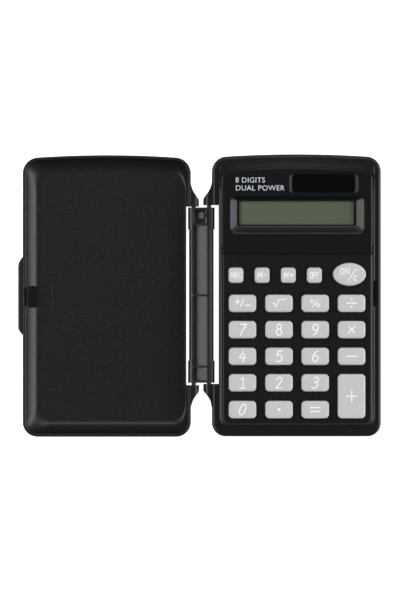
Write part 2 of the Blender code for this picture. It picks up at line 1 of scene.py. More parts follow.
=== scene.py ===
import bpy
import bmesh
import math
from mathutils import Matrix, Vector


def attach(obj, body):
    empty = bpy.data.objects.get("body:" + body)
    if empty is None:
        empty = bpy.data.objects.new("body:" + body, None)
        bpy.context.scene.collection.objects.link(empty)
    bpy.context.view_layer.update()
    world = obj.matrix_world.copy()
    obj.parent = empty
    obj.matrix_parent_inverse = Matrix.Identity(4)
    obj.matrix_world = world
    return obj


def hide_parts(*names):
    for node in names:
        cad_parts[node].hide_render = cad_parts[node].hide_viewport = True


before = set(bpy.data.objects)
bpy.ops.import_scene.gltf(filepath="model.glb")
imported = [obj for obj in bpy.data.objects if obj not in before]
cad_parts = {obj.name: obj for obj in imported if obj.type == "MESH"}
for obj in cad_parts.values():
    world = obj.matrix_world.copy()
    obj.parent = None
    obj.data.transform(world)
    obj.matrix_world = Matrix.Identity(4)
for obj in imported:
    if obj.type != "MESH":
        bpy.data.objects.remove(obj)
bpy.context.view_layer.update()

MM = 0.001

# ============================================================ sizes (millimetres)
PIVOT_Z, COVER_PIVOT_X, BODY_PIVOT_X = 3.00, -2.35, 3.85
EAR_R, BODY_EAR_R, PIN_R, PIN_HOLE_R, PIN_END_Y = 2.20, 2.35, 0.90, 0.97, 40.3
BODY_X0, BODY_X1, BODY_Y0, BODY_Y1 = 5.0, 73.7, -57.3, 57.4
BODY_R, BODY_BOW, LEDGE_Z = 5.6, 1.3, 5.95
BODY_CUT_X, BODY_CUT_Y0, BODY_CUT_Y1 = 7.80, -35.95, 36.75
WALL = 1.6
PLAT_X0, PLAT_X1, PLAT_Y0, PLAT_Y1 = 7.95, 71.20, -53.5, 52.9
PLAT_R, PLAT_BOW, PLAT_Z, ROOF_Z = 4.2, 1.9, 7.80, 6.30
COVER_X0, COVER_X1, COVER_Y0, COVER_Y1 = -71.8, -3.5, -57.4, 57.0
COVER_R, COVER_BOW, COVER_Z, COVER_FLOOR = 6.0, 1.4, 6.00, 1.30
COVER_CUT_X, COVER_CUT_Y0, COVER_CUT_Y1 = -5.40, -36.45, 36.15
SPINE_Y0, SPINE_Y1, STEP_Y0, STEP_Y1 = -35.45, 35.75, -26.5, 26.9
R_WIDE, R_SLIM = 2.30, 1.90
CH_X0, CH_X1, CH_FLOOR, SPINE_TOP = -2.65, 4.05, 1.95, 5.25
PANEL_X0, PANEL_X1, PANEL_Y0, PANEL_Y1 = 9.30, 69.85, 16.9, 51.6
PANEL_R, PANEL_BOW, PANEL_TOP, PANEL_SEAT, PANEL_LOW = 2.6, 1.6, 7.95, 6.90, 5.90
LCD_TOP, LCD_GLASS = (12.0, 67.2, 24.8, 40.4), (16.2, 62.6, 28.7, 38.3)
SOLAR_TOP, SOLAR_GLASS = (36.1, 64.8, 41.2, 49.6), (37.5, 63.1, 41.8, 48.9)
REAR_Z0, REAR_Z1 = 0.10, 1.20
CELL_X, DOOR_X0, DOOR_X1, DOOR_Y0, DOOR_LAP = 22.0, 14.5, 29.5, 38.2, 0.9
FLANGE_Z0, FLANGE_Z1, KEY_TOP, KEY_GAP, KEY_FLANGE = 5.60, 6.20, 9.50, 0.25, 0.70
KEY_COLS = (17.40, 32.20, 46.85, 61.55)
KEY_ROWS = (-3.20, -13.85, -24.65, -35.35, -46.20)
KEY_W, KEY_H, KEY_R = 11.1, 7.0, 1.65
TOP_COLS, TOP_Y, TOP_W, TOP_H = (14.75, 25.35, 35.95, 46.50), 8.20, 6.0, 6.2
OVAL_X, OVAL_Y, OVAL_W, OVAL_H = 60.70, 8.55, 13.3, 9.2
SCREWS = ((10.3, -52.6), (68.6, -52.6), (10.3, 52.0), (68.6, 52.0))


# ============================================================ mesh helpers
def link(ob):
    bpy.context.scene.collection.objects.link(ob)
    return ob


def solid(name, verts, faces):
    me = bpy.data.meshes.new(name)
    me.from_pydata([(x * MM, y * MM, z * MM) for x, y, z in verts], [], faces)
    bm = bmesh.new()
    bm.from_mesh(me)
    bmesh.ops.recalc_face_normals(bm, faces=bm.faces)
    if bm.calc_volume(signed=True) < 0:
        bmesh.ops.reverse_faces(bm, faces=bm.faces)
    bm.to_mesh(me)
    bm.free()
    return link(bpy.data.objects.new(name, me))


def loft(name, rings):
    n = len(rings[0][0])
    verts, faces = [], []
    for pts, z in rings:
        verts += [(x, y, z) for x, y in pts]
    for k in range(len(rings) - 1):
        for i in range(n):
            j = (i + 1) % n
            faces.append((k * n + i, k * n + j, (k + 1) * n + j, (k + 1) * n + i))
    faces.append(tuple(range(n - 1, -1, -1)))
    top = (len(rings) - 1) * n
    faces.append(tuple(range(top, top + n)))
    return solid(name, verts, faces)


def prism(name, pts, z0, z1):
    return loft(name, [(pts, z0), (pts, z1)])


def prism_y(name, xz, y0, y1):
    n = len(xz)
    verts = [(x, y0, z) for x, z in xz] + [(x, y1, z) for x, z in xz]
    faces = [(i, (i + 1) % n, n + (i + 1) % n, n + i) for i in range(n)]
    faces += [tuple(range(n - 1, -1, -1)), tuple(range(n, 2 * n))]
    return solid(name, verts, faces)


def box(name, x0, x1, y0, y1, z0, z1):
    return prism(name, [(x0, y0), (x1, y0), (x1, y1), (x0, y1)], z0, z1)


def circle(cx, cy, r, n=32):
    return [(cx + r * math.cos(2 * math.pi * i / n), cy + r * math.sin(2 * math.pi * i / n)) for i in range(n)]


def ellipse(cx, cy, a, b, n=64):
    return [(cx + a * math.cos(2 * math.pi * i / n), cy + b * math.sin(2 * math.pi * i / n)) for i in range(n)]


def rrect(x0, x1, y0, y1, r, seg=8, top=0, bow=0.0):
    r = max(0.05, min(r, (x1 - x0) / 2 - 0.01, (y1 - y0) / 2 - 0.01))
    pts = []

    def corner(cx, cy, a):
        for k in range(seg + 1):
            t = a + math.pi / 2 * k / seg
            pts.append((cx + r * math.cos(t), cy + r * math.sin(t)))
    corner(x1 - r, y0 + r, -math.pi / 2)
    corner(x1 - r, y1 - r, 0.0)
    for k in range(1, top + 1):
        pts.append(((x1 - r) + (x0 + r - (x1 - r)) * k / (top + 1), y1))
    corner(x0 + r, y1 - r, math.pi / 2)
    corner(x0 + r, y0 + r, math.pi)
    if bow:
        xc, hw, yc, hh = (x0 + x1) / 2, (x1 - x0) / 2, (y0 + y1) / 2, (y1 - y0) / 2
        out = []
        for x, y in pts:
            f = max(0.0, (y - yc) / hh)
            f = max(0.0, min(1.0, (f - 0.8) / 0.1))
            out.append((x, y - bow * f * ((x - xc) / hw) ** 2))
        pts = out
    return pts


def apply_bool(ob, others, op):
    for other in others:
        mod = ob.modifiers.new("b", 'BOOLEAN')
        mod.operation = op
        mod.solver = 'EXACT'
        mod.object = other
        dg = bpy.context.evaluated_depsgraph_get()
        dg.update()
        me = bpy.data.meshes.new_from_object(ob.evaluated_get(dg))
        ob.modifiers.remove(mod)
        old = ob.data
        ob.data = me
        bpy.data.meshes.remove(old)
        bpy.data.objects.remove(other, do_unlink=True)
    return ob


def cut(ob, *others):
    return apply_bool(ob, others, 'DIFFERENCE')


def fuse(ob, *others):
    return apply_bool(ob, others, 'UNION')


def meet(ob, *others):
    return apply_bool(ob, others, 'INTERSECT')


def dress(ob, bevel=0.0, angle=32, segments=2, smooth=38, weld=0.002):
    """Weld slivers, round the edges, and shade smooth except over sharp folds."""
    bm = bmesh.new()
    bm.from_mesh(ob.data)
    bmesh.ops.remove_doubles(bm, verts=bm.verts, dist=weld * MM)
    bmesh.ops.dissolve_degenerate(bm, edges=bm.edges, dist=weld * MM)
    bmesh.ops.dissolve_limit(bm, angle_limit=math.radians(0.4), verts=bm.verts, edges=bm.edges, delimit={'NORMAL'})
    bmesh.ops.recalc_face_normals(bm, faces=bm.faces)
    bm.to_mesh(ob.data)
    bm.free()
    if bevel:
        mod = ob.modifiers.new("round", 'BEVEL')
        mod.width = bevel * MM
        mod.segments = segments
        mod.limit_method = 'ANGLE'
        mod.angle_limit = math.radians(angle)
        mod.use_clamp_overlap = True
        mod.miter_outer = 'MITER_ARC'
        dg = bpy.context.evaluated_depsgraph_get()
        dg.update()
        me = bpy.data.meshes.new_from_object(ob.evaluated_get(dg))
        ob.modifiers.remove(mod)
        old = ob.data
        ob.data = me
        bpy.data.meshes.remove(old)
    bm = bmesh.new()
    bm.from_mesh(ob.data)
    bmesh.ops.remove_doubles(bm, verts=bm.verts, dist=0.0008 * MM)
    lim = math.radians(smooth)
    for f in bm.faces:
        f.smooth = True
    for e in bm.edges:
        e.smooth = not (len(e.link_faces) != 2 or e.calc_face_angle(0.0) > lim)
    bm.to_mesh(ob.data)
    bm.free()
    mod = ob.modifiers.new("normals", 'WEIGHTED_NORMAL')
    mod.keep_sharp = True
    mod.weight = 90
    return ob


# ============================================================ materials
class Nodes:
    def __init__(self, name):
        self.mat = bpy.data.materials.new(name)
        self.mat.use_nodes = True
        self.nt = self.mat.node_tree
        self.bsdf = self.nt.nodes["Principled BSDF"]
        self.coord = self.nt.nodes.new("ShaderNodeTexCoord")

    def add(self, kind, **props):
        n = self.nt.nodes.new(kind)
        for k, v in props.items():
            setattr(n, k, v)
        return n

    def link(self, a, b):
        self.nt.links.new(a, b)

    def noise(self, scale, detail=2.0, rough=0.5, dist=0.0):
        n = self.add("ShaderNodeTexNoise")
        n.inputs["Scale"].default_value = scale
        n.inputs["Detail"].default_value = detail
        n.inputs["Roughness"].default_value = rough
        n.inputs["Distortion"].default_value = dist
        self.link(self.coord.outputs["Object"], n.inputs["Vector"])
        return n.outputs["Fac"]

    def cells(self, scale, rand=1.0):
        n = self.add("ShaderNodeTexVoronoi")
        n.inputs["Scale"].default_value = scale
        n.inputs["Randomness"].default_value = rand
        self.link(self.coord.outputs["Object"], n.inputs["Vector"])
        return n.outputs["Distance"]

    def ramp(self, fac, lo, hi, a, b):
        n = self.add("ShaderNodeMapRange")
        n.inputs["From Min"].default_value = lo
        n.inputs["From Max"].default_value = hi
        n.inputs["To Min"].default_value = a
        n.inputs["To Max"].default_value = b
        self.link(fac, n.inputs["Value"])
        return n.outputs["Result"]

    def math(self, op, a, b):
        n = self.add("ShaderNodeMath", operation=op)
        for i, v in enumerate((a, b)):
            if isinstance(v, (int, float)):
                n.inputs[i].default_value = v
            else:
                self.link(v, n.inputs[i])
        return n.outputs[0]

    def mix(self, fac, a, b):
        n = self.add("ShaderNodeMix", data_type='RGBA')
        if isinstance(fac, (int, float)):
            n.inputs["Factor"].default_value = fac
        else:
            self.link(fac, n.inputs["Factor"])
        for sock, v in ((n.inputs[6], a), (n.inputs[7], b)):
            if isinstance(v, tuple):
                sock.default_value = v + (1.0,)
            else:
                self.link(v, sock)
        return n.outputs[2]

    def edge(self, radius_mm, patchy=240.0):
        """Mask of rubbed edges: where a rounded normal leaves the true one, broken up by noise."""
        bev = self.add("ShaderNodeBevel", samples=4)
        bev.inputs["Radius"].default_value = radius_mm * MM
        geo = self.add("ShaderNodeNewGeometry")
        dot = self.add("ShaderNodeVectorMath", operation='DOT_PRODUCT')
        self.link(bev.outputs["Normal"], dot.inputs[0])
        self.link(geo.outputs["Normal"], dot.inputs[1])
        rim = self.ramp(dot.outputs["Value"], 0.90, 0.995, 1.0, 0.0)
        return self.math('MULTIPLY', rim, self.ramp(self.noise(patchy, 3.0, 0.6), 0.35, 0.65, 0.25, 1.0))

    def bump(self, height, dist, strength=1.0, normal=None):
        n = self.add("ShaderNodeBump")
        n.inputs["Strength"].default_value = strength
        n.inputs["Distance"].default_value = dist
        self.link(height, n.inputs["Height"])
        if normal is not None:
            self.link(normal, n.inputs["Normal"])
        return n.outputs["Normal"]

    def set(self, **kw):
        for k, v in kw.items():
            sock = self.bsdf.inputs[k.replace("_", " ")]
            if isinstance(v, (int, float)):
                sock.default_value = v
            elif isinstance(v, tuple):
                sock.default_value = v + (1.0,) if len(v) == 3 else v
            else:
                self.link(v, sock)
        return self


def textured_black(name, dark, light, rough_lo, rough_hi, grain=3200.0, depth=0.000022, spec=0.5):
    """Moulded black plastic with a fine spark-eroded grain and faint flow mottling."""
    m = Nodes(name)
    fine = m.noise(grain, 2.0, 0.6)
    pits = m.cells(grain * 0.55)
    cloud = m.noise(55.0, 4.0, 0.6)
    dust = m.noise(900.0, 1.0, 0.5)
    height = m.math('ADD', fine, m.math('MULTIPLY', pits, 0.6))
    tone = m.math('ADD', m.math('MULTIPLY', fine, 0.35), m.math('ADD', m.math('MULTIPLY', cloud, 0.12), m.math('MULTIPLY', dust, 0.53)))
    wear = m.edge(0.22)
    worn = tuple(min(1.0, c * 2.6 + 0.006) for c in light)
    base = m.mix(m.ramp(tone, 0.30, 0.70, 0.0, 1.0), dark, light)
    rough = m.ramp(m.math('ADD', m.math('MULTIPLY', cloud, 0.2), m.math('ADD', m.math('MULTIPLY', dust, 0.4), m.math('MULTIPLY', fine, 0.4))), 0.3, 0.7, rough_lo, rough_hi)
    m.set(Base_Color=m.mix(wear, base, worn),
          Roughness=m.math('SUBTRACT', rough, m.math('MULTIPLY', wear, 0.07)),
          Normal=m.bump(height, depth))
    m.set(**{"Specular_IOR_Level": spec})
    return m.mat


def plain(name, dark, light, rough_lo, rough_hi, scale=180.0, grain=2600.0, depth=0.000006, spec=0.5, metallic=0.0, worn=None):
    m = Nodes(name)
    cloud = m.noise(scale, 4.0, 0.6)
    fine = m.noise(grain, 2.0, 0.5)
    base = m.mix(m.ramp(cloud, 0.3, 0.7, 0.0, 1.0), dark, light)
    rough = m.ramp(m.math('ADD', m.math('MULTIPLY', cloud, 0.5), m.math('MULTIPLY', fine, 0.5)), 0.3, 0.7, rough_lo, rough_hi)
    if worn:
        wear = m.edge(0.20)
        base = m.mix(wear, base, worn)
        rough = m.math('SUBTRACT', rough, m.math('MULTIPLY', wear, 0.08))
    m.set(Base_Color=base, Roughness=rough,
          Normal=m.bump(fine, depth), Metallic=metallic)
    m.set(**{"Specular_IOR_Level": spec})
    return m.mat


M_CASE = textured_black("case_black_grain", (0.0026, 0.0026, 0.0029), (0.0052, 0.0052, 0.0055), 0.30, 0.38, 3200.0, 0.000012, 0.30)
M_COVER = textured_black("cover_black_grain", (0.0050, 0.0050, 0.0055), (0.0090, 0.0090, 0.0096), 0.31, 0.38, 2900.0, 0.000014, 0.34)
M_PANEL = textured_black("panel_black_grain", (0.0014, 0.0014, 0.0020), (0.0030, 0.0030, 0.0037), 0.27, 0.33, 4200.0, 0.000008, 0.34)
M_SPINE = textured_black("spine_black_grain", (0.0110, 0.0110, 0.0110), (0.0170, 0.0170, 0.0170), 0.32, 0.42, 2600.0, 0.000012, 0.41)
M_KEY = plain("key_grey_plastic", (0.462, 0.453, 0.446), (0.488, 0.479, 0.471), 0.44, 0.56, 1300.0, 2100.0, 0.000020, 0.3, worn=(0.540, 0.532, 0.524))
M_INK = plain("print_white", (0.760, 0.754, 0.748), (0.800, 0.794, 0.788), 0.40, 0.52, 900.0, 3000.0, 0.000004)
M_LABEL = plain("print_pale", (0.60, 0.63, 0.66), (0.68, 0.71, 0.74), 0.45, 0.55, 900.0, 3000.0, 0.000004)
M_STEEL = plain("cell_steel_satin", (0.60, 0.60, 0.59), (0.68, 0.68, 0.66), 0.22, 0.34, 300.0, 3000.0, 0.000003, metallic=1.0)
M_SCREW = plain("screw_dark_zinc", (0.20, 0.20, 0.21), (0.30, 0.30, 0.31), 0.28, 0.42, 700.0, 3000.0, 0.000004, metallic=1.0, worn=(0.52, 0.51, 0.50))
M_BOARD = plain("board_solder_mask", (0.020, 0.105, 0.045), (0.030, 0.140, 0.065), 0.28, 0.40, 260.0, 1800.0, 0.000008)
M_RUBBER = plain("dome_silicone", (0.40, 0.41, 0.41), (0.47, 0.48, 0.48), 0.60, 0.75, 240.0, 2000.0, 0.000008)
M_ZEBRA = plain("connector_rubber", (0.030, 0.030, 0.030), (0.060, 0.060, 0.060), 0.65, 0.80, 2200.0, 2000.0, 0.000008)
M_EPOXY = plain("epoxy_black", (0.010, 0.010, 0.010), (0.020, 0.020, 0.020), 0.14, 0.26, 300.0, 1200.0, 0.000008)


def lcd_material():
    """Reflective twisted-nematic glass: olive, with the faint fibre grain of its back polariser."""
    m = Nodes("lcd_olive")
    cloud = m.noise(60.0, 3.0, 0.5)
    fine = m.noise(2600.0, 2.0, 0.6)
    tone = m.math('ADD', m.math('MULTIPLY', cloud, 0.55), m.math('MULTIPLY', fine, 0.45))
    m.set(Base_Color=m.mix(m.ramp(tone, 0.3, 0.7, 0.0, 1.0), (0.062, 0.080, 0.036), (0.070, 0.088, 0.044)),
          Roughness=m.ramp(fine, 0.3, 0.7, 0.42, 0.52), Normal=m.bump(fine, 0.000006))
    m.set(**{"Specular_IOR_Level": 0.3})
    return m.mat


def solar_material():
    """Amorphous cell under glass: nearly black with faint violet scribe lines."""
    m = Nodes("solar_amorphous")
    sep = m.add("ShaderNodeSeparateXYZ")
    m.link(m.coord.outputs["Object"], sep.inputs[0])
    wave = m.math('FRACT', m.math('MULTIPLY', sep.outputs["X"], 1.0 / 0.00640), 0.0)
    line = m.math('LESS_THAN', wave, 0.035)
    cloud = m.noise(120.0, 3.0, 0.5)
    body = m.mix(m.ramp(cloud, 0.3, 0.7, 0.0, 1.0), (0.0040, 0.0032, 0.0050), (0.0070, 0.0052, 0.0085))
    m.set(Base_Color=m.mix(line, body, (0.014, 0.013, 0.015)), Roughness=m.ramp(cloud, 0.3, 0.7, 0.22, 0.34))
    return m.mat


def glass_material(name, tint, rough, alpha, spec=0.5):
    """Thin moulded window: mostly lets the piece behind show, with a glossy face."""
    m = Nodes(name)
    fine = m.noise(350.0, 2.0, 0.5)
    m.set(Base_Color=m.mix(fine, tint, tuple(c * 0.96 for c in tint)), Roughness=m.ramp(fine, 0.3, 0.7, rough, rough + 0.04), Alpha=alpha)
    m.set(**{"Specular_IOR_Level": spec})
    return m.mat


M_LCD = lcd_material()
M_SOLAR = solar_material()
M_CLEAR = glass_material("window_clear", (0.20, 0.21, 0.20), 0.05, 0.05)
M_SMOKE = glass_material("window_smoke", (0.002, 0.002, 0.003), 0.06, 0.55, 0.2)


def paint(ob, mat):
    ob.data.materials.clear()
    ob.data.materials.append(mat)
    for p in ob.data.polygons:
        p.material_index = 0
    return ob


# ============================================================ outlines
def body_outline(i, seg=14, top=22):
    return rrect(BODY_X0 + i, BODY_X1 - i, BODY_Y0 + i, BODY_Y1 - i, BODY_R - i, seg, top, BODY_BOW)


def cover_outline(i, seg=14, top=22):
    return rrect(COVER_X0 + i, COVER_X1 - i, COVER_Y0 + i, COVER_Y1 - i, max(COVER_R - i, 1.9), seg, top, COVER_BOW)


def plateau_outline(i, seg=12, top=20):
    return rrect(PLAT_X0 + i, PLAT_X1 - i, PLAT_Y0 + i, PLAT_Y1 - i, PLAT_R - i, seg, top, PLAT_BOW)


def panel_outline(i, seg=10, top=20):
    pts = rrect(PANEL_X0 + i, PANEL_X1 - i, PANEL_Y0 + i, PANEL_Y1 - i, PANEL_R - i, seg, top, PANEL_BOW)
    foot = rrect(PANEL_X0 + i, PANEL_X1 - i, PANEL_Y0 + i, PANEL_Y1 - i, 0.7, seg, top, 0)
    mid = (PANEL_Y0 + PANEL_Y1) / 2
    return [q if q[1] < mid else p for p, q in zip(pts, foot)]


def spline(pts, per=6, closed=False):
    """Catmull-Rom through the points."""
    out = []
    n = len(pts)
    last = n if closed else n - 1
    for i in range(last):
        p0 = pts[(i - 1) % n] if closed or i > 0 else pts[0]
        p1, p2 = pts[i], pts[(i + 1) % n]
        p3 = pts[(i + 2) % n] if closed or i + 2 < n else pts[-1]
        for k in range(per):
            t = k / per
            out.append(tuple(0.5 * (2 * b + (c - a) * t + (2 * a - 5 * b + 4 * c - d) * t * t + (3 * b - a - 3 * c + d) * t ** 3)
                             for a, b, c, d in zip(p0, p1, p2, p3)))
    if not closed:
        out.append(pts[-1])
    return out


def ear(name, px, r, shoulder, root_x, side):
    n = 24
    prof = []
    a0, a1 = (-math.pi / 2, math.pi / 2) if side > 0 else (math.pi / 2, 3 * math.pi / 2)
    for k in range(n + 1):
        t = a0 + (a1 - a0) * k / n
        prof.append((px + r * math.cos(t), PIVOT_Z + r * math.sin(t)))
    if side > 0:
        prof += [(root_x, PIVOT_Z + r), (root_x, PIVOT_Z - r)]
    else:
        prof += [(root_x, PIVOT_Z - r), (root_x, PIVOT_Z + r)]
    ys = [p[1] for p in shoulder]
    bar = prism_y(name, prof, min(ys) - 0.001, max(ys) + 0.001)
    smooth = spline(shoulder, 5)
    plan = list(smooth) + [(root_x - side * 0.02, shoulder[-1][1]), (root_x - side * 0.02, shoulder[0][1])]
    return meet(bar, prism(name + "_plan", plan, -1, 9))


def pin_hole(x, y0, y1):
    prof = [(x + PIN_HOLE_R * math.cos(2 * math.pi * i / 32), PIVOT_Z + PIN_HOLE_R * math.sin(2 * math.pi * i / 32)) for i in range(32)]
    return prism_y("hole", prof, y0, y1)


# ============================================================ cover
def make_cover():
    outer = []
    for k in range(9):
        t = math.pi / 2 * k / 8
        outer.append((1.5 * (1 - math.sin(t)), 1.6 * (1 - math.cos(t))))
    outer += [(0.0, 3.6), (0.0, 5.35), (0.05, 5.62), (0.16, 5.83), (0.34, 5.96), (0.50, COVER_Z)]
    ob = loft("cover_shell", [(cover_outline(i), z) for i, z in outer])
    inner = [(7.2, COVER_FLOOR), (6.7, 1.315), (6.1, 1.39), (5.6, 1.52), (5.1, 1.73), (4.6, 2.02), (4.1, 2.38), (3.6, 2.80), (3.1, 3.27), (2.6, 3.78), (2.15, 4.30),
             (1.85, 4.72), (1.60, 5.25), (1.35, 5.68), (1.15, 5.90), (0.95, COVER_Z), (0.95, 8.0)]

    def inside(i):
        r = max(COVER_R - i, 4.4 + 0.35 * i if i > 1.7 else COVER_R - i)
        hinge_side = i if i < 1.35 else 1.35 + (i - 1.35) * 0.16
        return rrect(COVER_X0 + i, COVER_X1 - hinge_side, COVER_Y0 + i, COVER_Y1 - i, r, 14, 22, COVER_BOW)
    cav = loft("cavity", [(inside(i), z) for i, z in inner])
    cut(cav, box("keep", COVER_CUT_X - 0.92, 2.0, COVER_CUT_Y0 - 1.0, COVER_CUT_Y1 + 1.0, -1, 9))
    cut(ob, cav)
    cut(ob, box("cutout", COVER_CUT_X, 2.0, COVER_CUT_Y0, COVER_CUT_Y1, -1, 9))
    top = [(-0.24, 36.15), (-0.22, 38.0), (-0.45, 39.2), (-1.58, 40.9), (-2.70, 42.8), (-3.45, 45.2)]
    low = [(-0.16, -36.45), (-0.16, -38.0), (-0.50, -39.4), (-1.60, -40.9), (-2.60, -42.6), (-3.45, -45.2)]
    fuse(ob, ear("ear_a", COVER_PIVOT_X, EAR_R, top, -4.3, 1), ear("ear_b", COVER_PIVOT_X, EAR_R, low, -4.3, 1))
    cut(ob, pin_hole(COVER_PIVOT_X, 30.0, PIN_END_Y + 0.4), pin_hole(COVER_PIVOT_X, -PIN_END_Y - 0.4, -30.0))
    half = spline([(-71.9, 15.6), (-72.5, 14.9), (-73.15, 13.9), (-73.55, 12.9), (-73.68, 11.9)], 4)
    half2 = spline([(-73.68, -12.6), (-73.55, -13.6), (-73.15, -14.5), (-72.5, -15.3), (-71.9, -16.0)], 4)
    tab = [(-70.9, -16.0), (-70.9, 15.6)] + half + half2
    def shrink(i):
        return [(x + (i if x < -72.2 else i * 0.3 if x < -71.5 else 0.0), y * (1.0 - 0.02 * i)) for x, y in tab]
    fuse(ob, loft("tab", [(shrink(0.45), 3.62), (shrink(0.15), 3.72), (shrink(0.0), 3.98), (shrink(0.0), 5.40),
                          (shrink(0.12), 5.66), (shrink(0.40), 5.83), (shrink(0.75), 5.88)]))
    # the lifter that forms the hook's undercut leaves a shallow sunk rectangle in the floor
    cut(ob, loft("lifter", [(rrect(-69.4, -60.1, -4.75, 3.65, 0.15, 3), COVER_FLOOR - 0.20), (rrect(-69.4, -59.55, -4.95, 3.85, 0.15, 3), COVER_FLOOR),
                            (rrect(-69.4, -59.55, -4.95, 3.85, 0.15, 3), 4.25)]))
    fuse(ob, box("step", -60.0, -59.45, -4.75, 3.65, 0.9, COVER_FLOOR + 0.13))
    fuse(ob, box("hook_base", -71.2, -68.3, -4.3, 3.5, 0.9, 4.2))
    fuse(ob, box("hook_lip", -70.3, -69.6, -4.1, 3.3, 4.0, 6.58))
    dress(ob, 0.10)
    paint(ob, M_COVER)
    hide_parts("cover")
    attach(ob, "cover")


# ============================================================ hinge spine
def spine_section(r):
    cx, bx = COVER_PIVOT_X, BODY_PIVOT_X
    pts = []
    for k in range(13):
        t = math.pi + (math.pi / 2) * k / 12
        pts.append((cx + r * math.cos(t), PIVOT_Z + 2.30 * math.sin(t)))
    for k in range(13):
        t = 1.5 * math.pi + (math.pi / 2) * k / 12
        pts.append((bx + r * math.cos(t), PIVOT_Z + 2.30 * math.sin(t)))
    right = [(bx + r, 3.55), (bx + r - 0.04, 3.90), (bx + r - 0.14, 4.22), (bx + r - 0.32, 4.52), (bx + r - 0.58, 4.77),
             (bx + r - 0.90, 4.97), (bx + r - 1.25, 5.12), (bx + r - 1.60, 5.21), (bx + r - 1.85, SPINE_TOP)]
    pts += right
    pts += [(cx + bx - x, z) for x, z in reversed(right)]
    return pts


def slope_z(x):
    return CH_FLOOR + 0.32 + (x + 2.10) * 0.22 + (x + 2.10) ** 2 * 0.029


def ejector(x, y, base, r=1.4, n=32):
    """A moulding ejector's round pad: its face leans a little and stands just proud of the floor."""
    pts = circle(x, y, r, n)
    top_z = [base + 0.22 + 0.34 * (a - x + r) for a, b in pts]
    verts = [(a, b, 1.4) for a, b in pts] + [(a, b, z) for (a, b), z in zip(pts, top_z)]
    faces = [(i, (i + 1) % n, n + (i + 1) % n, n + i) for i in range(n)]
    top = len(verts)
    verts += [(x, y, 1.4), (x, y, base + 0.22 + 0.34 * r)]
    faces += [((i + 1) % n, i, top) for i in range(n)] + [(n + i, n + (i + 1) % n, top + 1) for i in range(n)]
    return solid("ejector", verts, faces)


def make_spine():
    ob = prism_y("spine_strip", spine_section(R_SLIM), STEP_Y0 - 0.5, STEP_Y1 + 0.5)
    fuse(ob, prism_y("wide_a", spine_section(R_WIDE), STEP_Y1, SPINE_Y1), prism_y("wide_b", spine_section(R_WIDE), SPINE_Y0, STEP_Y0))
    ch = [(CH_X0 - 0.50, 7.0), (CH_X0 - 0.50, 5.30), (CH_X0 - 0.34, 4.98), (CH_X0 - 0.12, 4.74), (CH_X0, 4.45), (CH_X0, 2.9)]
    ch += spline([(CH_X0 + 0.05, 2.60), (CH_X0 + 0.25, 2.33), (CH_X0 + 0.55, slope_z(CH_X0 + 0.55))], 5)
    ch += [(-1.5, slope_z(-1.5)), (-0.7, slope_z(-0.7)), (0.1, slope_z(0.1)), (0.8, slope_z(0.8)), (1.5, slope_z(1.5)), (2.2, slope_z(2.2)), (2.95, slope_z(2.95))]
    ch += [(3.20, 4.28), (3.42, 4.50), (3.62, 4.78), (3.75, 5.02), (3.80, 5.3)]
    ch += [(CH_X1, 7.0)]
    for y0, y1 in ((SPINE_Y0 + 0.9, -29.3), (-28.5, -0.3), (0.5, 28.4)):
        cut(ob, prism_y("channel", ch, y0, y1))
    pocket = [(CH_X0, 7.0), (CH_X0, 2.7), (CH_X0 + 0.06, 2.35), (CH_X0 + 0.35, 2.08), (CH_X0 + 0.8, CH_FLOOR), (2.1, CH_FLOOR + 0.08), (2.9, 2.35),
              (3.4, 2.9), (3.65, 3.6), (3.75, 4.6), (3.80, 5.3), (CH_X1, 7.0)]
    cut(ob, prism_y("pocket", pocket, 29.2, SPINE_Y1 - 0.9))
    cut(ob, box("rib_drop", CH_X0 + 0.02, 3.7, SPINE_Y0 + 0.9, SPINE_Y1 - 0.9, 4.35, 7.0))
    for x, y, base in ((0.5, 32.6, CH_FLOOR), (0.3, 3.65, slope_z(-1.1) - 0.1), (0.2, -31.9, slope_z(-1.2) - 0.1)):
        fuse(ob, ejector(x, y, base))
    for x in (COVER_PIVOT_X, BODY_PIVOT_X):
        for y0, y1 in ((SPINE_Y1 - 0.4, PIN_END_Y), (-PIN_END_Y, SPINE_Y0 + 0.4)):
            prof = [(x + PIN_R * math.cos(2 * math.pi * i / 32), PIVOT_Z + PIN_R * math.sin(2 * math.pi * i / 32)) for i in range(32)]
            fuse(ob, prism_y("pin", prof, y0, y1))
    dress(ob, 0.16)
    paint(ob, M_SPINE)
    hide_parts("hinge_spine")
    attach(ob, "spine")


# ============================================================ body shell
def key_list():
    keys = []
    names = (("key_sign", "key_sqrt", "key_percent", "key_divide"), ("key_7", "key_8", "key_9", "key_multiply"),
             ("key_4", "key_5", "key_6", "key_minus"), ("key_1", "key_2", "key_3", None), ("key_0", "key_dot", "key_equals", None))
    for r, row in enumerate(names):
        for c, name in enumerate(row):
            if name:
                keys.append((name, KEY_COLS[c], KEY_ROWS[r], KEY_W, KEY_H, KEY_R))
    y_top, y_low = KEY_ROWS[3] + KEY_H / 2, KEY_ROWS[4] - KEY_H / 2
    keys.append(("key_plus", KEY_COLS[3], (y_top + y_low) / 2, KEY_W, y_top - y_low, KEY_R))
    for name, x in zip(("key_mrc", "key_m_minus", "key_m_plus", "key_off"), TOP_COLS):
        keys.append((name, x, TOP_Y, TOP_W, TOP_H, 1.35))
    return keys


def key_outline(k, grow, seg=8):
    name, x, y, w, h, r = k
    return rrect(x - w / 2 - grow, x + w / 2 + grow, y - h / 2 - grow, y + h / 2 + grow, r + grow * 0.8, seg)


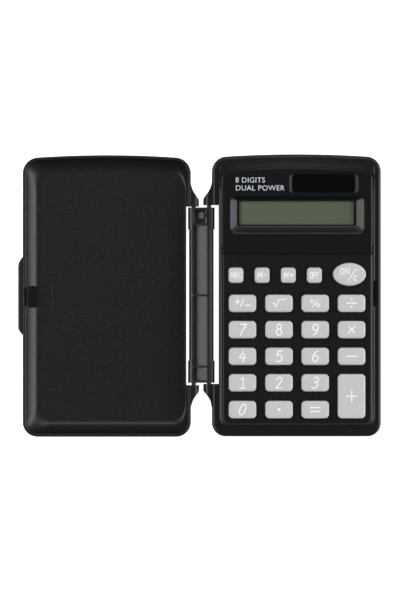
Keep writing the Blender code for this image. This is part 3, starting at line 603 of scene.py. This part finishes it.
def make_front():
    prof = []
    for k in range(7):
        t = math.pi / 2 * k / 6
        prof.append((1.0 * (1 - math.sin(t)), 1.0 * (1 - math.cos(t))))
    prof += [(0.0, 2.5), (0.0, 4.6), (0.05, 4.95), (0.18, 5.27), (0.40, 5.56), (0.70, 5.77), (1.05, 5.90), (1.45, LEDGE_Z)]
    ob = loft("front_shell", [(body_outline(i), z) for i, z in prof])
    cut(ob, box("cutout", 0.0, BODY_CUT_X, BODY_CUT_Y0, BODY_CUT_Y1, -1, 9))
    fuse(ob, loft("plateau", [(plateau_outline(i), z) for i, z in
                              ((0.0, 4.0), (0.0, 6.35), (0.04, 6.50), (0.14, 6.62), (0.34, 6.70), (0.70, 6.80), (1.08, 6.91), (1.25, 7.04), (1.38, 7.28), (1.47, 7.50), (1.60, 7.68), (1.82, 7.77), (2.05, PLAT_Z))]))
    fuse(ob, loft("brow", [(rrect(PLAT_X0 + 0.02, PLAT_X1 - 0.02, 40.0, 56.2, 4.6, 12, 20, 1.5), 5.85),
                           (rrect(PLAT_X0 + 0.25, PLAT_X1 - 0.25, 40.0, 52.6, 4.1, 12, 20, 1.9), 6.86)]))
    low = prism("cav_low", body_outline(WALL, 8, 12), -1.0, 4.6)
    cut(low, box("keep", 0.0, BODY_CUT_X + 1.4, BODY_CUT_Y0 - 1.4, BODY_CUT_Y1 + 1.4, -2, 9))
    fuse(low, prism("cav_high", plateau_outline(1.3, 8, 12), 3.0, ROOF_Z))
    cut(low, box("keep2", 0.0, BODY_CUT_X + 1.4, BODY_CUT_Y0 - 1.4, BODY_CUT_Y1 + 1.4, -2, 9))
    for x, y in SCREWS:
        cut(low, prism("boss", circle(x, y, 1.9, 24), 1.3, 9))
    cut(ob, low)
    cut(ob, prism("seat", panel_outline(-0.14), PANEL_SEAT - 0.05, 9), box("parting", PANEL_X0 - 0.9, PANEL_X1 + 0.9, PANEL_Y0 - 0.34, PANEL_Y0 + 3.0, PANEL_SEAT - 0.05, 9), box("window", 11.9, 66.3, 18.4, 49.8, 4.5, 8),
        box("latch_slot", 70.45, 72.1, -4.4, 5.9, 5.1, 9))
    for x, y in SCREWS:
        cut(ob, prism("pilot", circle(x, y, 0.86, 16), 0.0, 4.3))
    for k in key_list():
        cut(ob, prism("kh", key_outline(k, KEY_GAP), 5, 9))
    cut(ob, prism("kh", ellipse(OVAL_X, OVAL_Y, OVAL_W / 2 + KEY_GAP, OVAL_H / 2 + KEY_GAP), 5, 9))
    top = [(1.48, 36.75), (1.46, 38.5), (1.75, 39.6), (2.56, 40.8), (3.70, 42.4), (4.60, 44.4), (4.95, 46.0)]
    lowp = [(1.36, -35.95), (1.40, -38.1), (1.90, -39.2), (3.00, -40.5), (4.20, -42.4), (4.70, -44.2), (4.95, -45.6)]
    fuse(ob, ear("ear_c", BODY_PIVOT_X, BODY_EAR_R, top, 5.9, -1), ear("ear_d", BODY_PIVOT_X, BODY_EAR_R, lowp, 5.9, -1))
    cut(ob, pin_hole(BODY_PIVOT_X, 30.0, PIN_END_Y + 0.4), pin_hole(BODY_PIVOT_X, -PIN_END_Y - 0.4, -30.0))
    cut(ob, box("door_way", DOOR_X0 - 0.3, DOOR_X1 + 0.3, 50.0, 62.0, -1.0, REAR_Z1 + 0.3))
    dress(ob, 0.12)
    paint(ob, M_CASE)
    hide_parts("front_case")
    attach(ob, "body")


def make_rear():
    ob = prism("rear_plate", body_outline(WALL + 0.3, 10, 16), REAR_Z0, REAR_Z1)
    cut(ob, box("keep", 0.0, BODY_CUT_X + 1.7, BODY_CUT_Y0 - 1.7, BODY_CUT_Y1 + 1.7, -2, 9),
        box("slot_low", DOOR_X0 + DOOR_LAP - 0.3, DOOR_X1 - DOOR_LAP + 0.3, DOOR_Y0 - 0.3, 62, -1, 2),
        box("slot_up", DOOR_X0 - 0.3, DOOR_X1 + 0.3, DOOR_Y0 - 0.3, 62, 0.55, 2))
    for x, y in SCREWS:
        cut(ob, prism("sink", circle(x, y, 1.75, 28), -1, 0.75), prism("thru", circle(x, y, 1.0, 16), -1, 2))
    for x, y in ((13.5, -47.6), (65.8, -47.6), (13.5, 22.0), (65.8, 47.4), (34.0, 47.4)):
        fuse(ob, prism("post", circle(x, y, 1.2, 16), REAR_Z1 - 0.2, 2.25))
    # shallow moulded-in frame, as on the back of small electronics
    ring = prism("ring", rrect(24.0, 54.7, -30.0, -6.0, 1.5, 8), -1, REAR_Z0 + 0.12)
    cut(ring, prism("ring_in", rrect(24.5, 54.2, -29.5, -6.5, 1.1, 8), -2, 2))
    cut(ob, ring)
    dress(ob, 0.08)
    paint(ob, M_CASE)
    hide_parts("rear_case")
    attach(ob, "body")

    top_y = BODY_Y1 - BODY_BOW * ((CELL_X - (BODY_X0 + BODY_X1) / 2) / ((BODY_X1 - BODY_X0) / 2)) ** 2 - 0.55
    ob = box("door_plate", DOOR_X0 + DOOR_LAP, DOOR_X1 - DOOR_LAP, DOOR_Y0, top_y, REAR_Z0, 0.9)
    fuse(ob, box("upper", DOOR_X0, DOOR_X1, DOOR_Y0, top_y - 0.3, 0.70, REAR_Z1))
    for k in range(6):
        y = 48.6 + 1.0 * k
        cut(ob, box("grip", CELL_X - 3.4, CELL_X + 3.4, y, y + 0.45, -1, REAR_Z0 + 0.25))
    tri = [(CELL_X, 46.4), (CELL_X - 1.5, 44.2), (CELL_X + 1.5, 44.2)]
    cut(ob, prism("arrow", tri, -1, REAR_Z0 + 0.18))
    dress(ob, 0.07)
    paint(ob, M_CASE)
    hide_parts("battery_door")
    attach(ob, "door")

    for k, (x, y) in enumerate(SCREWS):
        ob = loft("screw_%d" % (k + 1), [(circle(x, y, 1.30, 32), 0.12), (circle(x, y, 1.42, 32), 0.22), (circle(x, y, 1.45, 32), 0.40), (circle(x, y, 1.45, 32), 0.70)])
        shank = []
        for j in range(25):
            z = 0.6 + 3.4 * j / 24
            shank.append((circle(x, y, 0.80 if j % 2 else 0.66, 20), z))
        fuse(ob, loft("shank", shank))
        cut(ob, box("slot_a", x - 0.85, x + 0.85, y - 0.16, y + 0.16, -1, 0.42), box("slot_b", x - 0.16, x + 0.16, y - 0.85, y + 0.85, -1, 0.42))
        dress(ob, 0.03)
        paint(ob, M_SCREW)
        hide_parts("case_screw_%d" % (k + 1))
        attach(ob, "body")


# ============================================================ display group
def funnel(name, low, z0, high, z1, r0, r1, steps=8, power=1.0):
    """Sloping sides between two rounded rectangles; power above 1 makes the wall concave."""
    rings = []
    for k in range(steps + 1):
        t = k / steps
        u = t ** power
        r = r0 + (r1 - r0) * t
        rings.append((rrect(*[a + (b - a) * t for a, b in zip(low, high)], r, 8), z0 + (z1 - z0) * u))
    return loft(name, rings)


def make_display():
    ob = loft("display_bezel", [(panel_outline(i), z) for i, z in ((0.0, PANEL_SEAT), (0.0, 7.72), (0.06, 7.85), (0.22, PANEL_TOP))])
    fuse(ob, box("under", 12.2, 66.0, 18.7, 49.5, PANEL_LOW, PANEL_SEAT + 0.2))
    gx0, gx1, gy0, gy1 = LCD_GLASS
    shelf = (gx0 - 0.75, gx1 + 0.75, gy0 - 0.45, gy1 + 0.25)
    cut(ob, funnel("lcd_a", shelf, PANEL_LOW + 0.32, LCD_TOP, PANEL_TOP + 0.02, 0.8, 2.6, 10, 1.12), prism("lcd_b", rrect(*LCD_GLASS, 0.5, 8), 5.0, PANEL_LOW + 0.4),
        prism("lcd_c", rrect(*LCD_TOP, 2.6, 8), PANEL_TOP + 0.01, 9))
    cut(ob, funnel("sol_a", SOLAR_GLASS, 7.46, SOLAR_TOP, PANEL_TOP + 0.02, 1.3, 1.9, 6, 1.1), prism("sol_b", rrect(*SOLAR_GLASS, 1.3, 8), 5.0, 7.50),
        prism("sol_c", rrect(*SOLAR_TOP, 1.9, 8), PANEL_TOP + 0.01, 9))
    dress(ob, 0.09)
    paint(ob, M_PANEL)
    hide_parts("display_panel")
    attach(ob, "body")

    ob = prism("lcd_cover_window", rrect(14.6, 64.2, 27.3, 39.2, 0.3, 5), 5.35, 5.80)
    dress(ob, 0.05)
    paint(ob, M_CLEAR)
    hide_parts("lcd_window")
    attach(ob, "body")

    ob = prism("lcd_cell", rrect(14.6, 64.2, 27.0, 39.4, 0.25, 5), 4.25, 5.25)
    dress(ob, 0.05)
    paint(ob, M_LCD)
    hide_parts("lcd_module")
    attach(ob, "body")

    x0, x1, y0, y1 = SOLAR_GLASS
    ob = prism("solar_lens", rrect(x0 + 0.06, x1 - 0.06, y0 + 0.06, y1 - 0.06, 1.25, 8), 5.90, 7.04)
    dress(ob, 0.08)
    paint(ob, M_SMOKE)
    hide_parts("solar_window")
    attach(ob, "body")

    ob = prism("solar_strip", rrect(36.6, 64.0, 41.0, 49.4, 0.2, 5), 5.20, 5.80)
    dress(ob, 0.05)
    paint(ob, M_SOLAR)
    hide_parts("solar_cell")
    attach(ob, "body")


# ============================================================ printed strokes
def ring_pts(cx, cy, a, b, n=12, a0=90):
    return [(cx + a * math.cos(math.radians(a0 + 360.0 * i / n)), cy + b * math.sin(math.radians(a0 + 360.0 * i / n))) for i in range(n)]


# each glyph: list of (kind, points) in a box one high; kind s = smooth, p = straight, o = closed smooth
GLYPHS = {
    "0": (0.62, [("o", ring_pts(0.31, 0.5, 0.26, 0.5))]),
    "1": (0.60, [("p", [(0.14, 0.80), (0.36, 0.98), (0.36, 0.0)]), ("p", [(0.10, 0.0), (0.58, 0.0)])]),
    "2": (0.62, [("s", [(0.08, 0.78), (0.14, 0.93), (0.31, 1.0), (0.48, 0.93), (0.53, 0.76), (0.45, 0.55), (0.24, 0.27), (0.05, 0.0)]), ("p", [(0.05, 0.0), (0.58, 0.0)])]),
    "3": (0.62, [("s", [(0.10, 0.92), (0.26, 1.0), (0.44, 0.96), (0.52, 0.79), (0.42, 0.61), (0.22, 0.54)]), ("s", [(0.22, 0.54), (0.46, 0.49), (0.56, 0.28), (0.46, 0.07), (0.24, 0.0), (0.05, 0.07)])]),
    "4": (0.66, [("p", [(0.34, 1.0), (0.05, 0.36), (0.64, 0.36)]), ("p", [(0.46, 0.72), (0.46, 0.0)])]),
    "5": (0.62, [("p", [(0.54, 1.0), (0.17, 1.0), (0.12, 0.56)]), ("s", [(0.12, 0.56), (0.32, 0.62), (0.51, 0.52), (0.56, 0.30), (0.45, 0.07), (0.24, 0.0), (0.05, 0.07)])]),
    "6": (0.62, [("o", ring_pts(0.31, 0.285, 0.25, 0.285)), ("s", [(0.50, 1.0), (0.33, 0.90), (0.18, 0.72), (0.09, 0.50), (0.06, 0.29)])]),
    "7": (0.62, [("p", [(0.05, 1.0), (0.58, 1.0)]), ("s", [(0.58, 1.0), (0.40, 0.62), (0.29, 0.30), (0.24, 0.0)])]),
    "8": (0.62, [("o", ring_pts(0.31, 0.775, 0.20, 0.225)), ("o", ring_pts(0.31, 0.275, 0.245, 0.275))]),
    "9": (0.62, [("o", ring_pts(0.31, 0.715, 0.25, 0.285)), ("s", [(0.56, 0.71), (0.53, 0.50), (0.44, 0.28), (0.29, 0.10), (0.12, 0.0)])]),
    "M": (0.90, [("p", [(0.05, 0.0), (0.09, 1.0)]), ("p", [(0.09, 1.0), (0.44, 0.25)]), ("p", [(0.44, 0.25), (0.79, 1.0)]), ("p", [(0.79, 1.0), (0.83, 0.0)])]),
    "R": (0.64, [("p", [(0.08, 0.0), (0.08, 1.0)]), ("s", [(0.08, 1.0), (0.34, 1.0), (0.50, 0.88), (0.50, 0.67), (0.34, 0.55), (0.08, 0.54)]), ("p", [(0.28, 0.54), (0.56, 0.0)])]),
    "C": (0.64, [("s", [(0.58, 0.85), (0.42, 1.0), (0.22, 0.96), (0.08, 0.72), (0.07, 0.34), (0.19, 0.06), (0.40, 0.0), (0.57, 0.13)])]),
    "O": (0.72, [("o", ring_pts(0.36, 0.5, 0.29, 0.5))]),
    "N": (0.80, [("p", [(0.06, 0.0), (0.06, 1.0)]), ("p", [(0.06, 1.0), (0.68, 0.0)]), ("p", [(0.68, 0.0), (0.68, 1.0)])]),
    "F": (0.58, [("p", [(0.08, 0.0), (0.08, 1.0), (0.52, 1.0)]), ("p", [(0.08, 0.54), (0.44, 0.54)])]),
    "+": (0.70, [("p", [(0.05, 0.5), (0.65, 0.5)]), ("p", [(0.35, 0.2), (0.35, 0.8)])]),
    "-": (0.62, [("p", [(0.06, 0.5), (0.56, 0.5)])]),
}


def ribbon(verts, faces, pts, w, z0, z1, closed=False):
    """A printed stroke: a low bar with rounded ends following the points."""
    clean = [pts[0]]
    for p in pts[1:]:
        if math.hypot(p[0] - clean[-1][0], p[1] - clean[-1][1]) > w * 0.05:
            clean.append(p)
    if closed and math.hypot(clean[0][0] - clean[-1][0], clean[0][1] - clean[-1][1]) < w * 0.05:
        clean.pop()
    n = len(clean)
    left, right = [], []
    for i, (x, y) in enumerate(clean):
        a = clean[(i - 1) % n] if closed or i > 0 else clean[i]
        b = clean[(i + 1) % n] if closed or i < n - 1 else clean[i]
        d1 = (x - a[0], y - a[1])
        d2 = (b[0] - x, b[1] - y)
        l1, l2 = math.hypot(*d1) or 1.0, math.hypot(*d2) or 1.0
        if d1 == (0, 0):
            d1, l1 = d2, l2
        if d2 == (0, 0):
            d2, l2 = d1, l1
        u1, u2 = (d1[0] / l1, d1[1] / l1), (d2[0] / l2, d2[1] / l2)
        t = (u1[0] + u2[0], u1[1] + u2[1])
        lt = math.hypot(*t) or 1.0
        t = (t[0] / lt, t[1] / lt)
        c = max(0.5, t[0] * u1[0] + t[1] * u1[1])
        h = w / 2 / c
        left.append((x - t[1] * h, y + t[0] * h))
        right.append((x + t[1] * h, y - t[0] * h))
    if closed:
        base = len(verts)
        for z in (z0, z1):
            verts += [(x, y, z) for x, y in left] + [(x, y, z) for x, y in right]
        for i in range(n):
            j = (i + 1) % n
            L0, L1, R0, R1 = base + i, base + j, base + n + i, base + n + j
            T = 2 * n
            faces += [(L0 + T, R0 + T, R1 + T, L1 + T), (L0, L1, R1, R0), (L0, L0 + T, L1 + T, L1), (R0, R1, R1 + T, R0 + T)]
        return
    out = []
    e = clean[-1]
    a = math.atan2(left[-1][1] - e[1], left[-1][0] - e[0])
    cap_end = [(e[0] + w / 2 * math.cos(a - math.pi * k / 8), e[1] + w / 2 * math.sin(a - math.pi * k / 8)) for k in range(1, 8)]
    s = clean[0]
    a = math.atan2(right[0][1] - s[1], right[0][0] - s[0])
    cap_start = [(s[0] + w / 2 * math.cos(a - math.pi * k / 8), s[1] + w / 2 * math.sin(a - math.pi * k / 8)) for k in range(1, 8)]
    # strip body
    base = len(verts)
    for z in (z0, z1):
        verts += [(x, y, z) for x, y in left] + [(x, y, z) for x, y in right]
    T = 2 * n
    for i in range(n - 1):
        L0, L1, R0, R1 = base + i, base + i + 1, base + n + i, base + n + i + 1
        faces += [(L0 + T, R0 + T, R1 + T, L1 + T), (L0, L1, R1, R0), (L0, L0 + T, L1 + T, L1), (R0, R1, R1 + T, R0 + T)]
    for li, ri, cap in ((base + n - 1, base + 2 * n - 1, cap_end), (base + n, base, cap_start)):
        b2 = len(verts)
        m = len(cap)
        verts += [(x, y, z0) for x, y in cap] + [(x, y, z1) for x, y in cap]
        low = [li] + [b2 + k for k in range(m)] + [ri]
        high = [li + T] + [b2 + m + k for k in range(m)] + [ri + T]
        faces.append(tuple(high[::-1]))
        faces.append(tuple(low))
        for k in range(m + 1):
            faces.append((low[k], high[k], high[k + 1], low[k + 1]))


def strokes(text, cx, cy, height, w, slant=0.16, squeeze=1.0, gap=0.16, rot=0.0):
    """Lays glyphs out about a centre and returns their stroke paths in millimetres."""
    total = sum(GLYPHS[c][0] for c in text) * squeeze + gap * (len(text) - 1)
    x = -total / 2
    out = []
    for c in text:
        adv, parts = GLYPHS[c]
        for kind, pts in parts:
            path = spline(pts, 6, True) if kind == "o" else spline(pts, 6) if kind == "s" else pts
            done = []
            for px, py in path:
                gx = (x + px * squeeze + slant * (py - 0.5)) * height
                gy = (py - 0.5) * height
                done.append((cx + gx * math.cos(rot) - gy * math.sin(rot), cy + gx * math.sin(rot) + gy * math.cos(rot)))
            out.append((done, w, kind == "o"))
        x += adv * squeeze + gap
    return out


def line(x0, y0, x1, y1, w):
    return [([(x0, y0), (x1, y1)], w, False)]


def dot(x, y, r):
    return [([(x - r * 0.15, y), (x + r * 0.15, y)], r * 2, False)]


def legend_for(name, x, y):
    W = 0.52
    if name[4:].isdigit():
        slant = {"0": 0.26, "3": 0.22, "7": 0.22, "4": 0.16, "2": 0.10}.get(name[4:], 0.05)
        return strokes(name[4:], x + 0.05, y + 0.02, 4.35, W, slant, 1.0)
    if name == "key_plus":
        return line(x - 2.1, y, x + 2.1, y, W) + line(x, y - 2.2, x, y + 2.2, W)
    if name == "key_minus":
        return line(x - 1.95, y + 0.05, x + 1.95, y + 0.05, W)
    if name == "key_multiply":
        return line(x - 1.3, y - 1.3, x + 1.35, y + 1.35, W) + line(x - 1.15, y + 1.3, x + 1.2, y - 1.3, W)
    if name == "key_divide":
        return line(x - 1.95, y + 0.1, x + 1.95, y + 0.1, 0.46) + dot(x, y + 1.6, 0.40) + dot(x, y - 1.4, 0.40)
    if name == "key_equals":
        return line(x - 1.85, y + 0.85, x + 1.85, y + 0.85, W) + line(x - 1.85, y - 0.75, x + 1.85, y - 0.75, W)
    if name == "key_dot":
        return dot(x, y + 0.05, 0.52)
    if name == "key_percent":
        o1 = [(x - 1.15 + 0.68 * math.cos(t), y + 0.85 + 0.62 * math.sin(t)) for t in [i * math.pi / 8 for i in range(16)]]
        o2 = [(x + 1.15 + 0.68 * math.cos(t), y - 0.75 + 0.62 * math.sin(t)) for t in [i * math.pi / 8 for i in range(16)]]
        return [(o1, 0.38, True), (o2, 0.38, True)] + line(x - 1.0, y - 1.35, x + 1.25, y + 1.5, 0.40)
    if name == "key_sqrt":
        return [([(x - 2.5, y - 0.2), (x - 2.0, y + 0.15), (x - 1.25, y - 1.45), (x - 0.1, y + 1.55), (x + 2.6, y + 1.55)], 0.44, False)]
    if name == "key_sign":
        return (line(x - 3.0, y + 0.65, x - 1.05, y + 0.65, 0.46) + line(x - 2.0, y - 0.35, x - 2.0, y + 1.65, 0.46)
                + line(x - 0.85, y - 1.35, x + 0.55, y + 1.65, 0.42) + line(x + 1.2, y - 0.75, x + 3.2, y - 0.75, 0.46))
    if name == "key_mrc":
        return strokes("MRC", x, y, 2.6, 0.29, 0.06, 0.70, 0.10)
    if name == "key_m_minus":
        return strokes("M-", x, y, 2.45, 0.34, 0.10, 0.88, 0.12)
    if name == "key_m_plus":
        return strokes("M+", x, y, 2.45, 0.34, 0.10, 0.88, 0.12)
    if name == "key_off":
        return strokes("OFF", x, y, 2.45, 0.36, 0.06, 0.68, 0.10)
    if name == "key_on_c":
        return (strokes("ON", x - 1.85, y + 1.25, 2.30, 0.38, 0.12, 1.02, 0.14, 0.10) + line(x - 0.55, y - 2.35, x + 2.75, y + 2.1, 0.40)
                + strokes("C", x + 2.35, y - 1.55, 2.0, 0.44, 0.12, 1.0, 0.1))
    return []


# a key top is very slightly domed; the print is laid flat at a fixed height near the top of the dome
CROWN_R = 120.0


def crown(dx, dy):
    return -(dx * dx + dy * dy) / (2 * CROWN_R)


def make_keys():
    oval = ("key_on_c", OVAL_X, OVAL_Y, OVAL_W, OVAL_H, 0)
    rings = ((KEY_FLANGE, FLANGE_Z0), (KEY_FLANGE, FLANGE_Z1 - 0.08), (KEY_FLANGE - 0.08, FLANGE_Z1), (0.0, FLANGE_Z1), (0.0, 7.6), (0.0, 8.78),
             (-0.03, 8.95), (-0.11, 9.10), (-0.24, 9.22), (-0.42, 9.31), (-0.66, 9.37), (-1.1, 9.41), (-1.7, 9.43))
    for k in key_list() + [oval]:
        name, cx, cy, w, h, r = k
        if name == "key_on_c":
            outline = lambda g: ellipse(OVAL_X, OVAL_Y, OVAL_W / 2 + g, OVAL_H / 2 + g)
        else:
            outline = lambda g: key_outline(k, g)
        ob = loft("cap_" + name[4:], [(outline(g), z) for g, z in rings])
        dress(ob, 0.0, smooth=40)
        paint(ob, M_KEY)
        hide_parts(name)
        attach(ob, name + "_cap")
        verts, faces = [], []
        for i, (path, width, closed) in enumerate(legend_for(name, cx, cy)):
            ribbon(verts, faces, path, width, 9.39, 9.452 + 0.004 * i, closed)
        me = bpy.data.meshes.new("legend_" + name[4:])
        me.from_pydata([(x * MM, y * MM, z * MM) for x, y, z in verts], [], faces)
        bm = bmesh.new()
        bm.from_mesh(me)
        bmesh.ops.recalc_face_normals(bm, faces=bm.faces)
        bm.to_mesh(me)
        bm.free()
        leg = link(bpy.data.objects.new("legend_" + name[4:], me))
        paint(leg, M_INK)
        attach(leg, name + "_cap")


def make_label():
    """Two generic lines printed on the display panel."""
    for name, text, x, y in (("label_upper", "8 DIGITS", 14.5, 45.75), ("label_lower", "DUAL POWER", 14.5, 42.55)):
        cu = bpy.data.curves.new(name, 'FONT')
        cu.body = text
        cu.size = 3.05 * MM
        cu.space_character = 1.04
        cu.offset = -0.000028
        cu.extrude = 0.00002
        cu.resolution_u = 3
        tmp = link(bpy.data.objects.new(name + "_tmp", cu))
        dg = bpy.context.evaluated_depsgraph_get()
        dg.update()
        me = bpy.data.meshes.new_from_object(tmp.evaluated_get(dg))
        bpy.data.objects.remove(tmp, do_unlink=True)
        for v in me.vertices:
            v.co.x += x * MM
            v.co.y += y * MM
            v.co.z += (PANEL_TOP + 0.005) * MM
        me.name = name
        ob = link(bpy.data.objects.new(name, me))
        paint(ob, M_LABEL)
        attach(ob, "body")


# ============================================================ inner CAD nodes keep their shape
def finish_inside():
    for node, mat in (("pcb", M_BOARD), ("dome_sheet", M_RUBBER), ("lcd_connector", M_ZEBRA), ("chip_blob", M_EPOXY),
                      ("button_cell", M_STEEL), ("battery_contact_top", M_STEEL), ("battery_contact_side", M_STEEL)):
        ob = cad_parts[node]
        for s in ob.material_slots:
            s.material = mat


# ============================================================ studio
def make_studio():
    floor = prism("floor", [(-3000, -3000), (3000, -3000), (3000, 3000), (-3000, 3000)], -2.0, -0.02)
    m = Nodes("floor_paper")
    cloud = m.noise(3.0, 2.0, 0.5)
    m.set(Base_Color=m.mix(cloud, (0.90, 0.90, 0.90), (0.92, 0.92, 0.92)), Roughness=0.9)
    m.set(Emission_Color=(1.0, 1.0, 1.0), Emission_Strength=1.0, **{"Specular_IOR_Level": 0.1})
    paint(floor, m.mat)

    world = bpy.data.worlds.new("studio")
    bpy.context.scene.world = world
    world.use_nodes = True
    bg = world.node_tree.nodes["Background"]
    bg.inputs["Color"].default_value = (0.92, 0.96, 1.0, 1.0)
    bg.inputs["Strength"].default_value = 0.15

    def lamp(name, pos, size_x, size_y, power, color):
        data = bpy.data.lights.new(name, 'AREA')
        data.shape = 'RECTANGLE'
        data.size, data.size_y = size_x, size_y
        data.energy = power
        data.color = color
        ob = link(bpy.data.objects.new(name, data))
        ob.location = pos
        d = Vector((0.0, 0.0, 0.0)) - Vector(pos)
        ob.rotation_euler = d.to_track_quat('-Z', 'Y').to_euler()

    lamp("softbox_right", (1.10, 0.0, 0.52), 1.3, 0.95, 19.5, (0.83, 0.90, 1.0))
    lamp("softbox_left", (-0.85, 0.0, 0.85), 1.3, 0.6, 12.0, (1.0, 1.0, 0.97))
    lamp("softbox_far", (0.1, 0.75, 1.0), 0.9, 0.4, 3.9, (1.0, 1.0, 1.0))

    cam = bpy.data.cameras.new("camera")
    dist = 1.30
    cam.lens = 36.0 * dist / 0.2436
    cam.clip_start, cam.clip_end = 0.05, 10.0
    ob = link(bpy.data.objects.new("camera", cam))
    ob.location = (0.0002, -0.00183, dist + 0.005)
    ob.rotation_euler = (0.0, 0.0, 0.0)
    bpy.context.scene.camera = ob
    bpy.context.scene.view_settings.view_transform = 'Standard'


make_studio()
make_cover()
make_spine()
make_front()
make_rear()
make_display()
make_keys()
make_label()
finish_inside()

bpy.context.view_layer.update()
